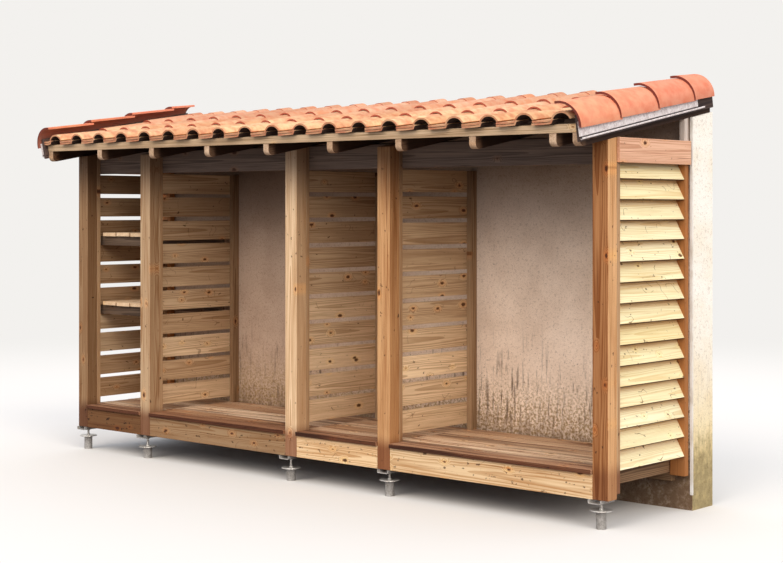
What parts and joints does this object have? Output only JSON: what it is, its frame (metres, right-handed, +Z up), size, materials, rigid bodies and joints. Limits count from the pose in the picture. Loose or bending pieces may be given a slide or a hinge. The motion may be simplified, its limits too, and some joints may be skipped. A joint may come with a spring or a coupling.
{
  "type": "log store",
  "caption": "Open-fronted lean-to log store: timber bays with slatted partitions, a louvred end and a raised plank floor, under a roll-tile roof against a rendered wall.",
  "frame": {"origin": "on the ground, under the middle of the store's plan", "axes": "+X to the right along the front, +Y from the open front towards the wall, +Z up"},
  "size_m": [4.958, 1.5078, 2.6983],
  "materials": {
    "lime_render": "rough",
    "white_bead": "satin",
    "post_timber": "sawn",
    "stile_timber": "sawn",
    "slat_timber": "planed",
    "louvre_timber": "planed",
    "side_board_timber": "sawn",
    "rim_timber": "planed",
    "deck_timber": "weathered",
    "floor_timber": "sawn",
    "shelf_timber": "planed",
    "roof_timber": "sawn",
    "eaves_timber": "sawn",
    "clay_tile": "fired clay",
    "clay_verge_tile": "fired clay",
    "zinc_sheet": "matt",
    "galvanised_steel": "matt"
  },
  "bodies": {
    "root": {"party_wall": "lime_render", "corner_beads": "white_bead", "post_1": "post_timber", "post_2": "post_timber", "post_3": "post_timber", "post_4": "post_timber", "post_5": "post_timber", "front_stiles": "stile_timber", "rear_stiles": "stile_timber", "rear_posts": "side_board_timber", "slat_panel_1": "slat_timber", "slat_panel_2": "slat_timber", "slat_panel_3": "slat_timber", "slat_panel_4": "slat_timber", "louvre_boards": "louvre_timber", "side_top_board_right": "side_board_timber", "side_top_board_left": "side_board_timber", "front_rim_1": "rim_timber", "front_rim_2": "rim_timber", "front_rim_3": "rim_timber", "front_rim_4": "rim_timber", "rear_ledger": "floor_timber", "floor_joists": "floor_timber", "deck_1": "deck_timber", "deck_2": "deck_timber", "deck_3": "deck_timber", "deck_4": "deck_timber", "lower_shelf": "shelf_timber", "upper_shelf": "shelf_timber", "shelf_ledgers": "shelf_timber", "front_beam": "roof_timber", "rafters": "roof_timber", "eaves_board": "eaves_timber", "tile_battens": "roof_timber", "verge_boards": "roof_timber", "tile_course_1": "clay_tile", "tile_course_2": "clay_tile", "tile_course_3": "clay_tile", "tile_course_4": "clay_tile", "verge_tiles_right": "clay_verge_tile", "verge_tiles_left": "clay_verge_tile", "apron_right": "zinc_sheet", "apron_left": "zinc_sheet", "post_feet": "galvanised_steel", "ground_screws": "galvanised_steel"}
  },
  "joints": []
}
